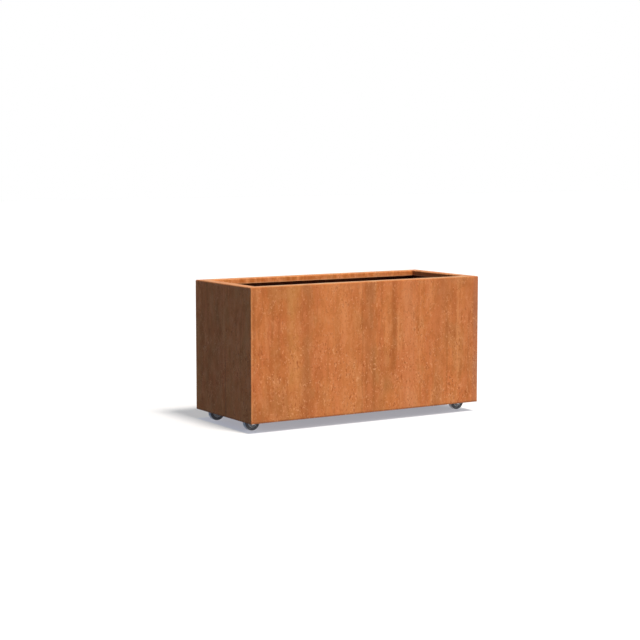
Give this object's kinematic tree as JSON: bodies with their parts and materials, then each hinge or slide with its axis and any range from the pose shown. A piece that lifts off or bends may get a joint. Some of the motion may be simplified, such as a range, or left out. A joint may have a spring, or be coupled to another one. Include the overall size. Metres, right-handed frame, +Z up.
{
  "type": "rolling planter",
  "caption": "Long rectangular planter box of rusted weathering steel with a folded rim, an open top and a hidden floor, rolling on swivel castors that stand just inside its skirt.",
  "frame": {"origin": "centre of the box on the ground under the wheels", "axes": "+X along the length of the box, +Y from the front to the back, +Z up"},
  "size_m": [1.2, 0.5, 0.627],
  "materials": {
    "corten": "matte rust patina on weathering steel, lighter and darker bands down the walls",
    "floor_steel": "dull dark rust on mild steel sheet and angle",
    "zinc": "bright zinc plating, satin",
    "ball_steel": "polished, lightly greased",
    "hub_plastic": "mid grey moulded plastic, satin",
    "tyre": "matte black solid rubber"
  },
  "bodies": {
    "planter": {"front_panel": "corten", "back_panel": "corten", "left_panel": "corten", "right_panel": "corten", "corner_welds": "corten", "floor_plate": "floor_steel", "front_floor_angle": "floor_steel", "back_floor_angle": "floor_steel", "left_floor_angle": "floor_steel", "right_floor_angle": "floor_steel", "front_floor_rail": "floor_steel", "back_floor_rail": "floor_steel", "castor_pads": "floor_steel", "castor_bolts": "zinc", "castor_washers": "zinc", "castor_nuts": "zinc", "front_left_plate": "zinc", "front_left_kingpin": "zinc", "front_left_lower_race": "zinc", "front_left_balls": "ball_steel", "front_right_plate": "zinc", "front_right_kingpin": "zinc", "front_right_lower_race": "zinc", "front_right_balls": "ball_steel", "back_right_plate": "zinc", "back_right_kingpin": "zinc", "back_right_lower_race": "zinc", "back_right_balls": "ball_steel", "back_left_plate": "zinc", "back_left_kingpin": "zinc", "back_left_lower_race": "zinc", "back_left_balls": "ball_steel"},
    "front_left_swivel": {"front_left_fork": "zinc", "front_left_axle_sleeve": "zinc", "front_left_axle_bolt": "zinc", "front_left_axle_nut": "zinc"},
    "front_left_wheel": {"front_left_wheel_hub": "hub_plastic", "front_left_tyre": "tyre"},
    "front_right_swivel": {"front_right_fork": "zinc", "front_right_axle_sleeve": "zinc", "front_right_axle_bolt": "zinc", "front_right_axle_nut": "zinc"},
    "front_right_wheel": {"front_right_wheel_hub": "hub_plastic", "front_right_tyre": "tyre"},
    "back_right_swivel": {"back_right_fork": "zinc", "back_right_axle_sleeve": "zinc", "back_right_axle_bolt": "zinc", "back_right_axle_nut": "zinc"},
    "back_right_wheel": {"back_right_wheel_hub": "hub_plastic", "back_right_tyre": "tyre"},
    "back_left_swivel": {"back_left_fork": "zinc", "back_left_axle_sleeve": "zinc", "back_left_axle_bolt": "zinc", "back_left_axle_nut": "zinc"},
    "back_left_wheel": {"back_left_wheel_hub": "hub_plastic", "back_left_tyre": "tyre"}
  },
  "joints": [
    {"name": "front_left_swivel_turn", "type": "hinge", "parent": "planter", "child": "front_left_swivel", "pos_m": [-0.5175, -0.1575, 0.089], "axis": [0, 0, 1], "continuous": true},
    {"name": "front_left_wheel_roll", "type": "hinge", "parent": "front_left_swivel", "child": "front_left_wheel", "pos_m": [-0.5475, -0.1575, 0.0375], "axis": [0, 1, 0], "continuous": true},
    {"name": "front_right_swivel_turn", "type": "hinge", "parent": "planter", "child": "front_right_swivel", "pos_m": [0.5175, -0.1575, 0.089], "axis": [0, 0, 1], "continuous": true},
    {"name": "front_right_wheel_roll", "type": "hinge", "parent": "front_right_swivel", "child": "front_right_wheel", "pos_m": [0.5475, -0.1575, 0.0375], "axis": [0, 1, 0], "continuous": true},
    {"name": "back_right_swivel_turn", "type": "hinge", "parent": "planter", "child": "back_right_swivel", "pos_m": [0.5175, 0.1575, 0.089], "axis": [0, 0, 1], "continuous": true},
    {"name": "back_right_wheel_roll", "type": "hinge", "parent": "back_right_swivel", "child": "back_right_wheel", "pos_m": [0.5475, 0.1575, 0.0375], "axis": [0, 1, 0], "continuous": true},
    {"name": "back_left_swivel_turn", "type": "hinge", "parent": "planter", "child": "back_left_swivel", "pos_m": [-0.5175, 0.1575, 0.089], "axis": [0, 0, 1], "continuous": true},
    {"name": "back_left_wheel_roll", "type": "hinge", "parent": "back_left_swivel", "child": "back_left_wheel", "pos_m": [-0.5475, 0.1575, 0.0375], "axis": [0, 1, 0], "continuous": true}
  ]
}
